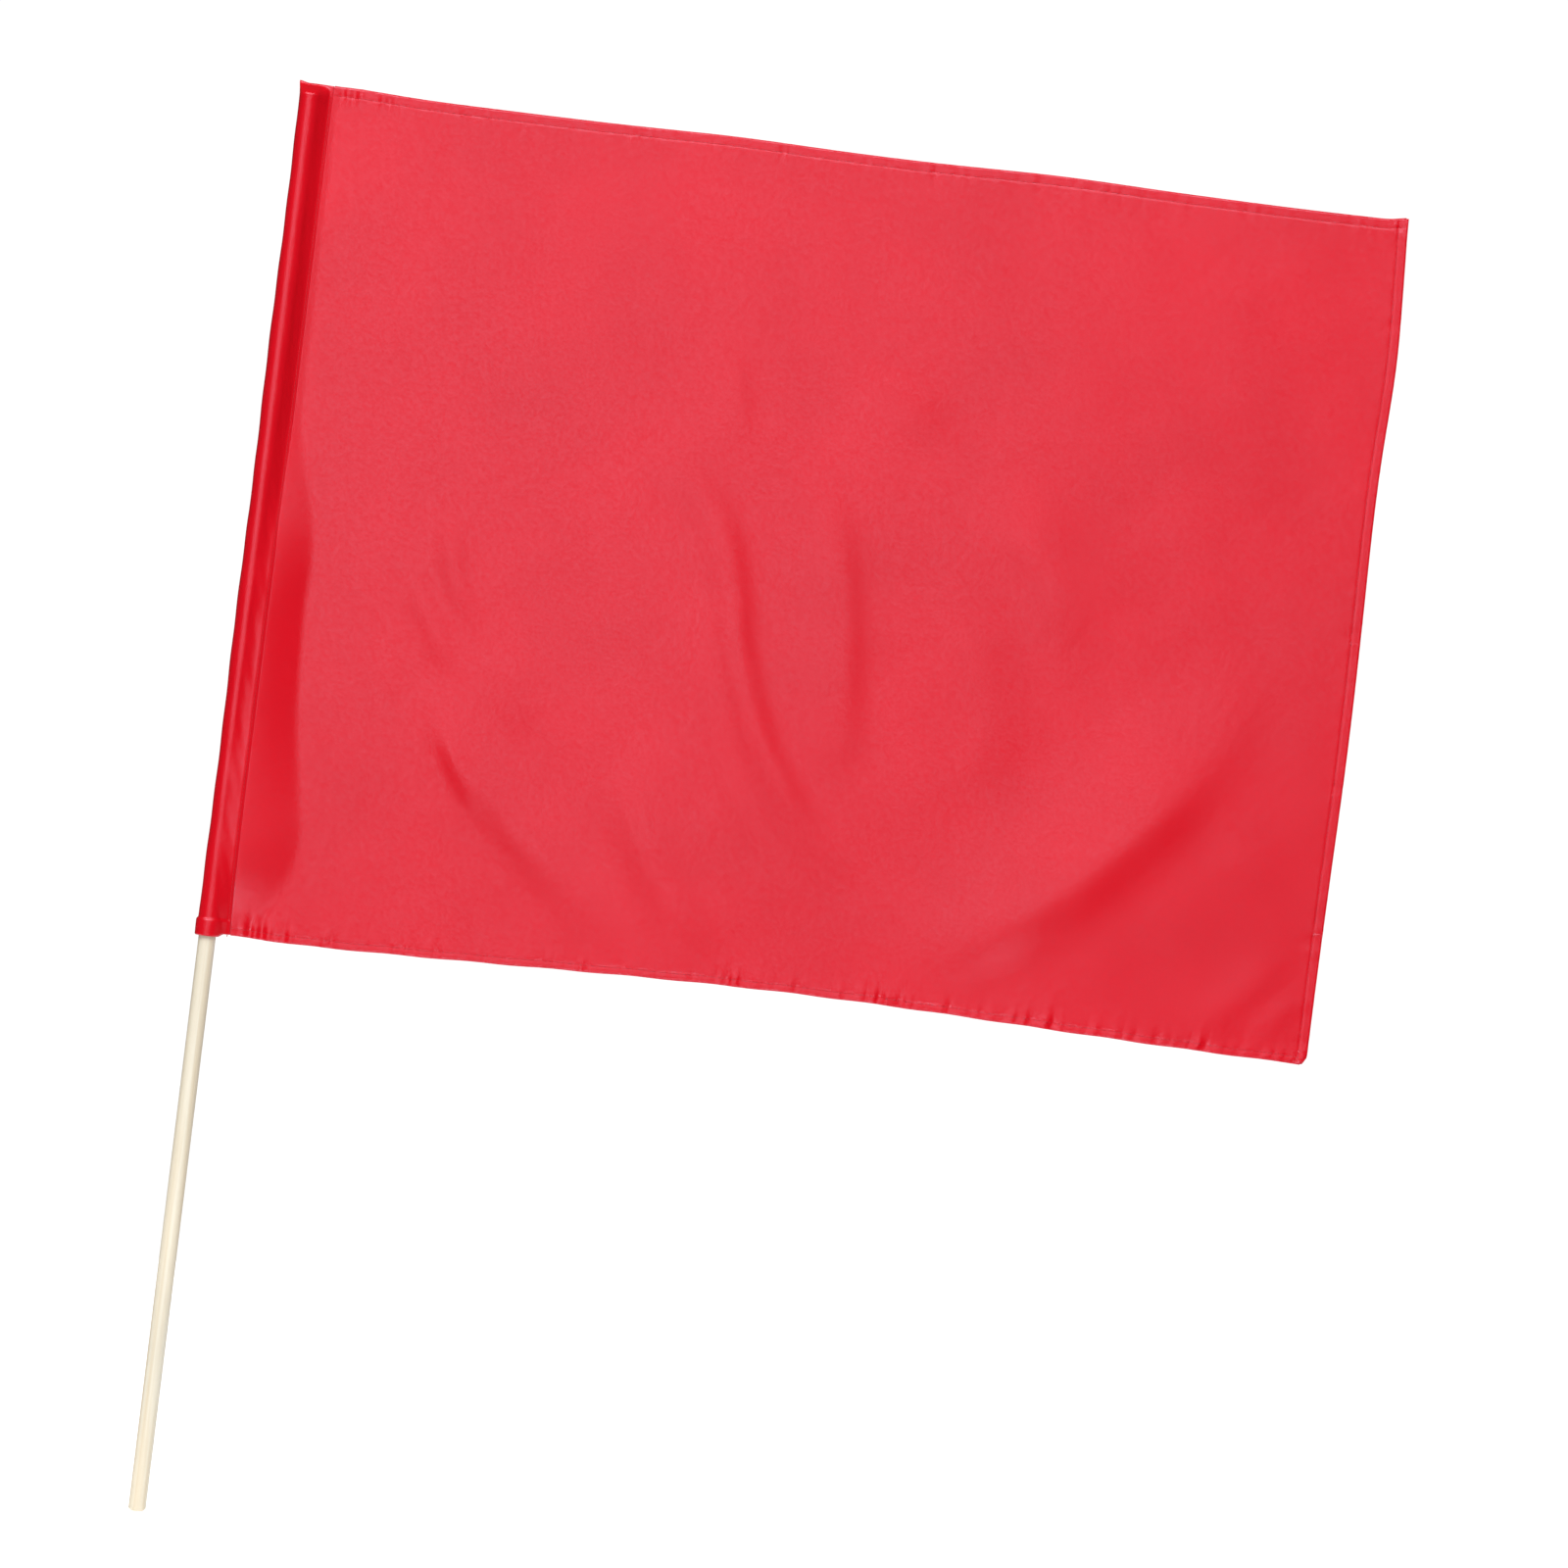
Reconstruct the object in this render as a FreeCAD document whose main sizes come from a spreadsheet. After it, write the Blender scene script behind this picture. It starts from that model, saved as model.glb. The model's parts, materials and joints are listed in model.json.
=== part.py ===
import FreeCAD, Part
import math
import os
import Sketcher

# A plain satin hand flag on a round wooden stick, in millimetres.
# The origin is the middle of the stick's lower end. +Z runs up the stick, +X runs from the
# stick towards the flag's free edge, and the flag's front faces -Y.
# The cloth lies as it does on a table: its back is level with the back of the stick.

os.makedirs("parts", exist_ok=True)
doc = FreeCAD.newDocument("hand_flag")

DRIVING_DIMENSIONS = [
    ("pole_radius", 6, "round dowel"),
    ("pole_length", 1000, "from the lower end to the end inside the sleeve"),
    ("pole_foot_bevel", 1.5, "sanded edge of the lower end"),
    ("pole_top_bevel", 1, "sanded edge of the end inside the sleeve"),
    ("cloth_thickness", 0.4, "one layer of satin"),
    ("hem_layers", 3, "layers in a hem that is turned twice"),
    ("flag_bottom", 406, "height of the flag's lower edge"),
    ("flag_top", 1006, "height of the flag's upper edge"),
    ("fly_x", 775, "the flag's free edge"),
    ("top_hem_height", 7, "width of the upper hem"),
    ("bottom_hem_height", 6, "width of the lower hem"),
    ("fly_hem_width", 7, "width of the free edge's hem"),
    ("sleeve_radius", 6.8, "inside of the sleeve where it wraps the stick"),
    ("mouth_radius", 7.3, "inside of the hem at the sleeve's mouth"),
    ("mouth_height", 12, "height of the hem at the sleeve's mouth"),
    ("cap_gap", 0.6, "air between the stick's end and the closed top"),
    ("cap_edge_radius", 1.6, "the closed top is pressed flat to this at its edge"),
    ("seam_x", 14.5, "outer edge of the sleeve's seam"),
    ("seam_y", 4.8, "middle of the seam's thickness, and of the field's waves"),
    ("seam_width", 2.5, "the two layers lie together for this far"),
    ("fold_x", 395, "middle of the field, where it folds in half"),
    ("bend_gap", 2.5, "cloth left out on each side of a fold line, as room to bend"),
    ("wave_bottom", 5, "height of the field's waves along the lower edge"),
    ("wave_top", 1, "height of the field's waves along the upper edge"),
    ("thread_width", 0.6, "sewing thread, across the seam"),
    ("thread_thickness", 0.25, "sewing thread, off the cloth"),
    ("thread_gap", 0.05, "air between a thread and its cloth"),
    ("top_stitch_inset", 6, "upper edge to its stitches"),
    ("bottom_stitch_inset", 4.5, "lower edge to its stitches"),
    ("fly_stitch_inset", 6, "free edge to its stitches"),
    ("seam_stitch_inset", 1.2, "edge of the sleeve's seam to its stitches"),
]

# Four half waves cross each half of the field.
WAVES_PER_PANEL = 4

sheet = doc.addObject("Spreadsheet::Sheet", "dims")
for row, (alias, size, meaning) in enumerate(DRIVING_DIMENSIONS, start=1):
    sheet.set(f"A{row}", meaning)
    sheet.set(f"B{row}", str(size))
    sheet.setAlias(f"B{row}", alias)
doc.recompute()


def value(expression):
    """The number that an expression on the sheet's dimensions gives now."""
    return float(sheet.evalExpression(expression))


def bind(owner, sizes):
    """Bind each property of an object to its expression."""
    for name, expression in sizes.items():
        owner.setExpression(name, expression)


def new_body(label):
    body = doc.addObject("PartDesign::Body", label)
    body.Label = label
    return body


def level_sketch(body, name, level):
    """A sketch parallel to its body's own XY plane, at the height that level gives."""
    floor = next(plane for plane in body.Origin.OriginFeatures if plane.Role == "XY_Plane")
    sketch = body.newObject("Sketcher::SketchObject", name)
    sketch.AttachmentSupport = [(floor, "")]
    sketch.MapMode = "FlatFace"
    sketch.setExpression("AttachmentOffset.Base.z", level)
    return sketch


def constrain(sketch, *terms, size=None):
    """Add a constraint, and bind it to the size's expression if it has one."""
    if size is None:
        sketch.addConstraint(Sketcher.Constraint(*terms))
        return
    index = sketch.addConstraint(Sketcher.Constraint(*terms, value(size)))
    sketch.setExpression(f"Constraints[{index}]", size)


# Sketcher's names for a curve's first point, last point and centre, and for the sketch's origin.
FIRST, LAST, CENTRE = 1, 2, 3
ORIGIN = (-1, 1)


def add_pole():
    body = new_body("pole")
    section = level_sketch(body, "pole_section", "0")
    circle = Part.Circle(FreeCAD.Vector(0, 0, 0), FreeCAD.Vector(0, 0, 1), value("dims.pole_radius"))
    section.addGeometry(circle)
    constrain(section, "Coincident", 0, CENTRE, *ORIGIN)
    constrain(section, "Radius", 0, size="dims.pole_radius")

    pad = body.newObject("PartDesign::Pad", "pole_length")
    pad.Profile = section
    bind(pad, {"Length": "dims.pole_length"})
    doc.recompute()

    for name, height, size in (("pole_foot", 0, "dims.pole_foot_bevel"),
                               ("pole_top", pad.Length.Value, "dims.pole_top_bevel")):
        base = body.Tip
        ends = [f"Edge{number}" for number, edge in enumerate(base.Shape.Edges, start=1)
                if edge.BoundBox.ZLength < 0.01 and abs(edge.BoundBox.ZMin - height) < 0.01]
        bevel = body.newObject("PartDesign::Chamfer", name)
        bevel.Base = (base, ends)
        bind(bevel, {"Size": size})
        doc.recompute()
    return body


def add_teardrop(sketch, radius, centre_x="0", apex_x=None, inside_of=None):
    """A round end about the stick and two tangent sides that meet towards the seam.

    The outline ends at the given apex on the seam's middle. With inside_of it has sides
    parallel to that outline's instead. Returns the number of the outline's arc.
    """
    first = len(sketch.Geometry)
    outline_radius = value(radius)
    middle = FreeCAD.Vector(value(centre_x), 0, 0)
    tip = FreeCAD.Vector(value(apex_x or "dims.seam_x - dims.seam_width"), value("dims.seam_y"), 0)
    reach = tip - middle
    heading = math.atan2(reach.y, reach.x)
    spread = math.acos(outline_radius / reach.Length)
    touches = []
    for angle in (heading + spread, heading - spread):
        touches.append(middle + outline_radius * FreeCAD.Vector(math.cos(angle), math.sin(angle), 0))

    circle = Part.Circle(middle, FreeCAD.Vector(0, 0, 1), outline_radius)
    sketch.addGeometry(Part.ArcOfCircle(circle, heading + spread, heading - spread + 2 * math.pi))
    sketch.addGeometry(Part.LineSegment(touches[1], tip))
    sketch.addGeometry(Part.LineSegment(tip, touches[0]))
    arc, front_side, back_side = first, first + 1, first + 2

    constrain(sketch, "Radius", arc, size=radius)
    constrain(sketch, "DistanceY", *ORIGIN, arc, CENTRE, size="0")
    constrain(sketch, "DistanceX", *ORIGIN, arc, CENTRE, size=centre_x)
    constrain(sketch, "Tangent", arc, LAST, front_side, FIRST)
    constrain(sketch, "Coincident", front_side, LAST, back_side, FIRST)
    constrain(sketch, "Tangent", back_side, LAST, arc, FIRST)
    if inside_of is None:
        constrain(sketch, "DistanceX", *ORIGIN, front_side, LAST, size=apex_x)
        constrain(sketch, "DistanceY", *ORIGIN, front_side, LAST, size="dims.seam_y")
    else:
        constrain(sketch, "Parallel", front_side, inside_of + 1)
        constrain(sketch, "Parallel", back_side, inside_of + 2)
    return arc


def add_rectangle(sketch, x_from, x_to, y_from, y_to):
    left, right, front, back = (value(size) for size in (x_from, x_to, y_from, y_to))
    corners = [FreeCAD.Vector(left, front, 0), FreeCAD.Vector(right, front, 0),
               FreeCAD.Vector(right, back, 0), FreeCAD.Vector(left, back, 0)]
    for corner, following in zip(corners, corners[1:] + corners[:1]):
        sketch.addGeometry(Part.LineSegment(corner, following))
    for side in range(4):
        constrain(sketch, "Coincident", side, LAST, (side + 1) % 4, FIRST)
        constrain(sketch, "Vertical" if side % 2 else "Horizontal", side)
    constrain(sketch, "DistanceX", *ORIGIN, 0, FIRST, size=x_from)
    constrain(sketch, "DistanceX", *ORIGIN, 0, LAST, size=x_to)
    constrain(sketch, "DistanceY", *ORIGIN, 0, FIRST, size=y_from)
    constrain(sketch, "DistanceY", *ORIGIN, 2, FIRST, size=y_to)


def add_sleeve_tube(label, inner_radius, wall, z_from, z_to):
    """A stretch of the sleeve: a teardrop tube and the flat seam that closes it."""
    body = new_body(label)
    apex = "dims.seam_x - dims.seam_width"
    ring = level_sketch(body, f"{label}_ring", z_from)
    outside = add_teardrop(ring, f"{inner_radius} + {wall}", apex_x=apex)
    add_teardrop(ring, inner_radius, inside_of=outside)

    tube = body.newObject("PartDesign::Pad", f"{label}_tube")
    tube.Profile = ring
    bind(tube, {"Length": f"{z_to} - ({z_from})"})
    doc.recompute()

    # The seam starts a little inside the tube's closed end, so that the two join.
    strip = level_sketch(body, f"{label}_seam_section", z_from)
    add_rectangle(strip, f"{apex} - dims.cloth_thickness", "dims.seam_x",
                  f"dims.seam_y - {wall}", f"dims.seam_y + {wall}")
    seam = body.newObject("PartDesign::Pad", f"{label}_seam")
    seam.Profile = strip
    bind(seam, {"Length": f"{z_to} - ({z_from})"})
    doc.recompute()
    return body


def add_closed_top():
    """The sleeve's upper end: round over the stick, and sewn flat along its upper edge."""
    body = new_body("sleeve_top_hem")
    low = level_sketch(body, "closed_top_low", "dims.pole_length + dims.cap_gap")
    add_teardrop(low, "dims.sleeve_radius + dims.cloth_thickness", apex_x="dims.seam_x")
    high = level_sketch(body, "closed_top_high", "dims.flag_top")
    add_teardrop(high, "dims.cap_edge_radius",
                 centre_x="dims.cap_edge_radius - dims.sleeve_radius - 2 * dims.cloth_thickness",
                 apex_x="dims.seam_x")
    doc.recompute()
    loft = body.newObject("PartDesign::AdditiveLoft", "closed_top")
    loft.Profile = low
    loft.Sections = [high]
    loft.Ruled = True
    doc.recompute()
    return body


def add_waves(sketch, x_from, x_to, faces, wave_height):
    """A wavy strip seen from above: a chain of arcs for each face, closed by two short ends.

    Every arc crosses the same width and rises half the wave's height, to the back and to
    the front in turn, so that each chain runs on smoothly through its crossings.
    """
    span = f"(({x_to}) - ({x_from})) / {WAVES_PER_PANEL}"
    radius = f"(({span}) * ({span}) + ({wave_height}) * ({wave_height})) / (4 * ({wave_height}))"
    width = value(span)
    arc_radius = value(radius)
    half_angle = math.asin(width / 2 / arc_radius)
    start_x = value(x_from)

    ends = []
    for face in faces:
        first = len(sketch.Geometry)
        face_y = value(face)
        points = []
        for number in range(WAVES_PER_PANEL):
            to_back = number % 2 == 0
            side = 1 if to_back else -1
            middle = FreeCAD.Vector(start_x + (number + 0.5) * width,
                                    face_y - side * arc_radius * math.cos(half_angle), 0)
            facing = side * math.pi / 2
            circle = Part.Circle(middle, FreeCAD.Vector(0, 0, 1), arc_radius)
            sketch.addGeometry(Part.ArcOfCircle(circle, facing - half_angle, facing + half_angle))
            # An arc runs anticlockwise, so one that bulges to the back starts at its right end.
            arc = first + number
            points.append(((arc, LAST), (arc, FIRST)) if to_back else ((arc, FIRST), (arc, LAST)))

        for number, (left, right) in enumerate(points):
            arc = first + number
            if number == 0:
                constrain(sketch, "Radius", arc, size=radius)
                constrain(sketch, "DistanceY", *ORIGIN, *left, size=face)
            else:
                constrain(sketch, "Equal", first, arc)
                constrain(sketch, "Coincident", *points[number - 1][1], *left)
                constrain(sketch, "Horizontal", *points[0][0], *left)
            constrain(sketch, "DistanceX", *ORIGIN, *left, size=f"{x_from} + {number} * {span}")
        constrain(sketch, "Horizontal", *points[0][0], *points[-1][1])
        constrain(sketch, "DistanceX", *ORIGIN, *points[-1][1], size=x_to)
        ends.append((points[0][0], points[-1][1]))

    for place, (front, back) in zip((x_from, x_to), zip(*ends)):
        line = len(sketch.Geometry)
        sketch.addGeometry(Part.LineSegment(FreeCAD.Vector(value(place), value(faces[0]), 0),
                                            FreeCAD.Vector(value(place), value(faces[1]), 0)))
        constrain(sketch, "Coincident", line, FIRST, *front)
        constrain(sketch, "Coincident", line, LAST, *back)


def add_wavy_strip(label, x_from, x_to, z_from, z_to, faces):
    """Cloth or thread that follows the field's waves between two heights."""
    body = new_body(label)
    sections = []
    for name, level in (("low", z_from), ("high", z_to)):
        wave_height = (f"dims.wave_top + (dims.wave_bottom - dims.wave_top)"
                       f" * (dims.flag_top - ({level})) / (dims.flag_top - dims.flag_bottom)")
        section = level_sketch(body, f"{label}_{name}", level)
        add_waves(section, x_from, x_to, faces, wave_height)
        sections.append(section)
    doc.recompute()
    loft = body.newObject("PartDesign::AdditiveLoft", f"{label}_strip")
    loft.Profile = sections[0]
    loft.Sections = [sections[1]]
    loft.Ruled = True
    doc.recompute()
    return body


def add_upright_strip(label, x_from, x_to, z_from, z_to, faces):
    """A straight strip of cloth or thread that stands along the stick's direction."""
    strip = doc.addObject("Part::Box", label)
    strip.Label = label
    bind(strip, {
        "Length": f"{x_to} - ({x_from})",
        "Width": f"{faces[1]} - ({faces[0]})",
        "Height": f"{z_to} - ({z_from})",
        "Placement.Base.x": x_from,
        "Placement.Base.y": faces[0],
        "Placement.Base.z": z_from,
    })
    return strip


# How far each thing lies in front of (-Y) or behind (+Y) the middle of the field's cloth.
CLOTH_FRONT = "dims.seam_y - dims.cloth_thickness / 2"
CLOTH_BACK = "dims.seam_y + dims.cloth_thickness / 2"
HEM_BACK = f"{CLOTH_FRONT} + dims.hem_layers * dims.cloth_thickness"
FIELD_FACES = (CLOTH_FRONT, CLOTH_BACK)
HEM_FACES = (CLOTH_FRONT, HEM_BACK)


def needle_faces(cloth_front):
    """The needle thread lies on the front of its seam."""
    return (f"{cloth_front} - dims.thread_gap - dims.thread_thickness", f"{cloth_front} - dims.thread_gap")


def bobbin_faces(cloth_back):
    """The bobbin thread lies on the back of its seam."""
    return (f"{cloth_back} + dims.thread_gap", f"{cloth_back} + dims.thread_gap + dims.thread_thickness")


def thread_span(middle):
    """The two edges of a thread that runs along the given line."""
    return (f"{middle} - dims.thread_width / 2", f"{middle} + dims.thread_width / 2")


# Heights and places where one part of the cloth gives way to the next.
TOP_HEM_LOW = "dims.flag_top - dims.top_hem_height"
BOTTOM_HEM_HIGH = "dims.flag_bottom + dims.bottom_hem_height"
MOUTH_HIGH = "dims.flag_bottom + dims.mouth_height"
FLY_HEM_LEFT = "dims.fly_x - dims.fly_hem_width"
PANELS = {
    "inner": ("dims.seam_x + dims.bend_gap", "dims.fold_x - dims.bend_gap"),
    "outer": ("dims.fold_x + dims.bend_gap", FLY_HEM_LEFT),
}
HEMS = {
    "top": (TOP_HEM_LOW, "dims.flag_top", "dims.flag_top - dims.top_stitch_inset"),
    "bottom": ("dims.flag_bottom", BOTTOM_HEM_HIGH, "dims.flag_bottom + dims.bottom_stitch_inset"),
}

pieces = [add_pole()]

# The sleeve: its hemmed mouth, its tube, and the closed end that rests on the stick.
pieces.append(add_sleeve_tube("sleeve_mouth_hem", "dims.mouth_radius",
                              "dims.hem_layers * dims.cloth_thickness", "dims.flag_bottom", MOUTH_HIGH))
pieces.append(add_sleeve_tube("sleeve", "dims.sleeve_radius", "dims.cloth_thickness",
                              MOUTH_HIGH, "dims.pole_length + dims.cap_gap"))
pieces.append(add_closed_top())

# The field is in two halves that fold on the line between them, each with its hems.
for panel, (x_from, x_to) in PANELS.items():
    pieces.append(add_wavy_strip(f"field_{panel}", x_from, x_to, BOTTOM_HEM_HIGH, TOP_HEM_LOW, FIELD_FACES))
    for hem, (z_from, z_to, stitches) in HEMS.items():
        pieces.append(add_wavy_strip(f"{hem}_hem_{panel}", x_from, x_to, z_from, z_to, HEM_FACES))
        for thread, faces in (("needle", needle_faces(CLOTH_FRONT)), ("bobbin", bobbin_faces(HEM_BACK))):
            pieces.append(add_wavy_strip(f"{hem}_{thread}_thread_{panel}", x_from, x_to,
                                         *thread_span(stitches), faces))

pieces.append(add_upright_strip("fly_hem", FLY_HEM_LEFT, "dims.fly_x",
                                "dims.flag_bottom", "dims.flag_top", HEM_FACES))

# Upright rows of stitches: the free edge's hem, and the seam that closes the sleeve.
seam_layers = ("dims.seam_y - dims.cloth_thickness", "dims.seam_y + dims.cloth_thickness")
upright_seams = {
    "fly": ("dims.fly_x - dims.fly_stitch_inset", "dims.flag_bottom", "dims.flag_top", HEM_FACES),
    "sleeve_seam": ("dims.seam_x - dims.seam_stitch_inset", MOUTH_HIGH,
                    "dims.pole_length + dims.cap_gap", seam_layers),
}
for seam, (middle, z_from, z_to, (front, back)) in upright_seams.items():
    for thread, faces in (("needle", needle_faces(front)), ("bobbin", bobbin_faces(back))):
        pieces.append(add_upright_strip(f"{seam}_{thread}_thread", *thread_span(middle), z_from, z_to, faces))

doc.recompute()
for item in doc.Objects:
    if "Invalid" in item.State or "Error" in item.State:
        raise RuntimeError(f"{item.Label} did not recompute: {item.State}")
for piece in pieces:
    if piece.Shape.isNull() or not piece.Shape.isValid() or piece.Shape.Volume <= 0:
        raise RuntimeError(f"{piece.Label} has no sound solid")
    piece.Shape.exportStep(f"parts/{piece.Label}.step")
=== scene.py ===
import json
import math

import bmesh
import bpy
import numpy as np
from mathutils import Matrix, Vector


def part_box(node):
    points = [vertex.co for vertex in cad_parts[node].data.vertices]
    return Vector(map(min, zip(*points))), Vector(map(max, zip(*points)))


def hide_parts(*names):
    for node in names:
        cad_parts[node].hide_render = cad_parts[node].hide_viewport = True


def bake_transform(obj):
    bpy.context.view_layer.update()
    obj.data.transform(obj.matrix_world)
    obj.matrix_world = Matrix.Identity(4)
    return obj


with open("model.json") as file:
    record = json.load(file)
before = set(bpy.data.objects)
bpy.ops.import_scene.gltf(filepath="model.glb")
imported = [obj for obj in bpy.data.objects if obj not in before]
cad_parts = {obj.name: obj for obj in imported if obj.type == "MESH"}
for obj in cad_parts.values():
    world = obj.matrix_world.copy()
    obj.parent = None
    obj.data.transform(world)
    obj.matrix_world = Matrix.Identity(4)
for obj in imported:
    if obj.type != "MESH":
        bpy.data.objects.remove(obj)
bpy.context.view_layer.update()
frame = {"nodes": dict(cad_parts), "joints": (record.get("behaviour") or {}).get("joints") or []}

# A plain red satin hand flag on a round stick. The frame is in metres: +Z up the stick,
# +X from the stick to the free edge, and the flag's front faces -Y. The cloth's shape below
# is worked out in millimetres and turned into metres where a mesh is made.
MM = 0.001


def millimetres(node):
    """The lowest and highest corner of a CAD node, in millimetres."""
    low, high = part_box(node)
    return [n / MM for n in low], [n / MM for n in high]


def joint_place(name):
    """Where a hinge's axis stands, in millimetres."""
    joint = next(j for j in frame["joints"] if j["name"] == name)
    return [n / MM for n in joint["pos_m"]]


STICK_RADIUS = millimetres("pole")[1][0]
STICK_TOP = millimetres("pole")[1][2]
SEAM_X, SEAM_Y = joint_place("seam_fold")[:2]
FOLD_X = joint_place("middle_fold")[0]
FLAG_BOTTOM = millimetres("bottom_hem_inner")[0][2]
FLAG_TOP = millimetres("top_hem_inner")[1][2]
FLY_X = millimetres("fly_hem")[1][0]
MOUTH_TOP = millimetres("sleeve_mouth_hem")[1][2]
SLEEVE_BACK = millimetres("sleeve")[1][1]
TOP_HEM = FLAG_TOP - millimetres("top_hem_inner")[0][2]
BOTTOM_HEM = millimetres("bottom_hem_inner")[1][2] - FLAG_BOTTOM
FLY_HEM = FLY_X - millimetres("fly_hem")[0][0]


def middle_of(node, axis):
    """The middle of a CAD node along an axis, in millimetres."""
    low, high = millimetres(node)
    return (low[axis] + high[axis]) / 2


TOP_STITCHES = FLAG_TOP - middle_of("top_needle_thread_inner", 2)
BOTTOM_STITCHES = middle_of("bottom_needle_thread_inner", 2) - FLAG_BOTTOM
FLY_STITCHES = FLY_X - middle_of("fly_needle_thread", 0)
SEAM_STITCHES_X = middle_of("sleeve_seam_needle_thread", 0)

CLOTH = 0.34             # one layer of satin
HEM_THICKNESS = 0.8      # the two turned layers behind a hem
STITCH_PITCH = 2.7
STITCH_LENGTH = 2.2
THREAD_RADIUS = 0.2
STITCH_GAP = 0.06        # how far the middle of a row of stitches stands off the cloth


# ---------------------------------------------------------------- the cloth's shape

def smooth_path(points, steps=16):
    """A smooth line through a few chosen points (Catmull-Rom)."""
    p = np.array(points, float)
    p = np.vstack([2 * p[0] - p[1], p, 2 * p[-1] - p[-2]])
    t = np.linspace(0, 1, steps, endpoint=False)[:, None]
    line = []
    for a, b, c, d in zip(p, p[1:], p[2:], p[3:]):
        line.append(0.5 * (2 * b + (c - a) * t + (2 * a - 5 * b + 4 * c - d) * t ** 2
                           + (3 * b - a - 3 * c + d) * t ** 3))
    line.append(p[-2][None])
    return np.vstack(line)


# Each fold is a ridge in the cloth: its height, how wide its gentle left side is, how wide its
# steep right side is, and the points that its crest runs through. Crests run upwards, so left
# and right are the sides of somebody who walks up along the crest.
FOLDS = [
    # the long diagonal ridge that runs up to the right from the lower edge
    (4.6, 40, 23, [(468, 408), (508, 438), (556, 474), (602, 516), (646, 566), (687, 630), (714, 702)]),
    (2.6, 60, 75, [(500, 396), (560, 440), (618, 490), (664, 540), (706, 606), (742, 690)]),
    # the curved fold in the middle, which hooks over to the left at its top
    (2.5, 17, 11, [(452, 488), (424, 508), (396, 540), (365, 590), (345, 646), (334, 700), (316, 742),
                   (286, 768), (252, 780)]),
    (0.9, 9, 6, [(392, 490), (362, 530), (340, 574), (326, 622), (318, 664)]),
    # the upright fold beside it
    (1.9, 17, 13, [(424, 552), (423, 610), (416, 676), (402, 740), (386, 792)]),
    # lower left: one long fold, short ones above it, and a broad soft one to its right
    (2.1, 12, 22, [(322, 404), (270, 438), (218, 486), (178, 528), (146, 570), (118, 616)]),
    (1.5, 10, 9, [(160, 640), (140, 680), (128, 736)]),
    (1.3, 10, 9, [(152, 600), (130, 640), (106, 690)]),
    (1.2, 7, 8, [(188, 502), (162, 536), (140, 578)]),
    (2.6, 16, 22, [(352, 404), (322, 452), (294, 504), (268, 572)]),
    (0.9, 22, 20, [(206, 560), (192, 600), (184, 640)]),
    # soft bands in the right half
    (1.8, 17, 40, [(576, 640), (566, 700), (540, 746), (490, 784)]),
    (0.9, 10, 26, [(496, 556), (524, 600), (516, 646), (494, 680), (460, 710)]),
    (1.3, 22, 16, [(470, 806), (436, 836), (400, 850)]),
    (1.0, 18, 10, [(332, 786), (322, 826), (312, 874)]),
    # the small diagonals at the free lower corner
    (0.9, 16, 12, [(684, 410), (722, 444), (758, 490)]),
    (0.7, 12, 10, [(730, 414), (750, 436), (770, 460)]),
]


def fold_lift(x, z):
    """How far the folds stand off the table at each place of the flag."""
    lift = np.zeros_like(x)
    for height, left_width, right_width, points in FOLDS:
        line = smooth_path(points)
        along = np.linspace(0, 1, len(line))
        nearest = np.full_like(x, np.inf)
        right = np.zeros(x.shape, bool)
        share = np.zeros_like(x)
        for (line_x, line_z), (step_x, step_z), part in zip(line, np.gradient(line, axis=0), along):
            distance = np.hypot(x - line_x, z - line_z)
            closer = distance < nearest
            nearest = np.where(closer, distance, nearest)
            share = np.where(closer, part, share)
            right = np.where(closer, step_x * (z - line_z) < step_z * (x - line_x), right)
        width = np.where(right, right_width, left_width)
        ends = np.clip(np.minimum(share, 1 - share) / 0.4, 0, 1)
        ends = ends * ends * (3 - 2 * ends)
        lift += height * np.exp(-(nearest / width) ** 2) * ends
    return lift


def bump(x, middle, width):
    """A smooth hump, 1 high, round a middle."""
    return np.exp(-((x - middle) / width) ** 2)


def share_below(z, level, softness):
    """1 well below a level and 0 well above it."""
    return 0.5 * (1 - math.tanh((z - level) / softness))


# The cloth beside the sleeve slopes down to the table. This is where it lands, at a few
# heights: close to the seam in the upper half, and much further out lower down.
LANDING = [(406, 26), (425, 36), (445, 50), (480, 57), (520, 50), (560, 44), (600, 41), (640, 39),
           (680, 41), (710, 36), (735, 28), (765, 20), (1006, 18)]
# How far the seam itself stands off the table.
SEAM_LIFT = [(406, 2.6), (425, 5.0), (450, 9.6), (480, 11.0), (560, 10.0), (640, 9.2), (685, 8.2),
             (715, 5.2), (740, 2.9), (770, 1.4), (1006, 1.1)]
BEND_SOFTNESS = 0.5
TAB_X = SEAM_X - 2.4     # the sleeve's two layers meet here and run on to the seam's edge
TAB_MIDDLE_X = TAB_X + 1.2
LAYERS_END_X = SEAM_X + 0.5
TAB_FALL = 0.9           # how much deeper the seam's edge lies than the place where they meet


def from_points(z, points):
    """A value that changes smoothly with height, through a few chosen points."""
    heights, sizes = zip(*points)
    spread = np.array([-12.0, -6.0, 0.0, 6.0, 12.0])
    z = np.asarray(z, float)
    return np.mean([np.interp(z + shift, heights, sizes) for shift in spread], axis=0)


def seam_y(z):
    return SLEEVE_BACK - CLOTH / 2 - from_points(z, SEAM_LIFT)


def tab_y(x, z):
    """Where the sleeve's two layers lie between the place where they meet and the seam's edge."""
    return seam_y(z) - TAB_FALL * (SEAM_X - x) / (SEAM_X - TAB_X)


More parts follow.
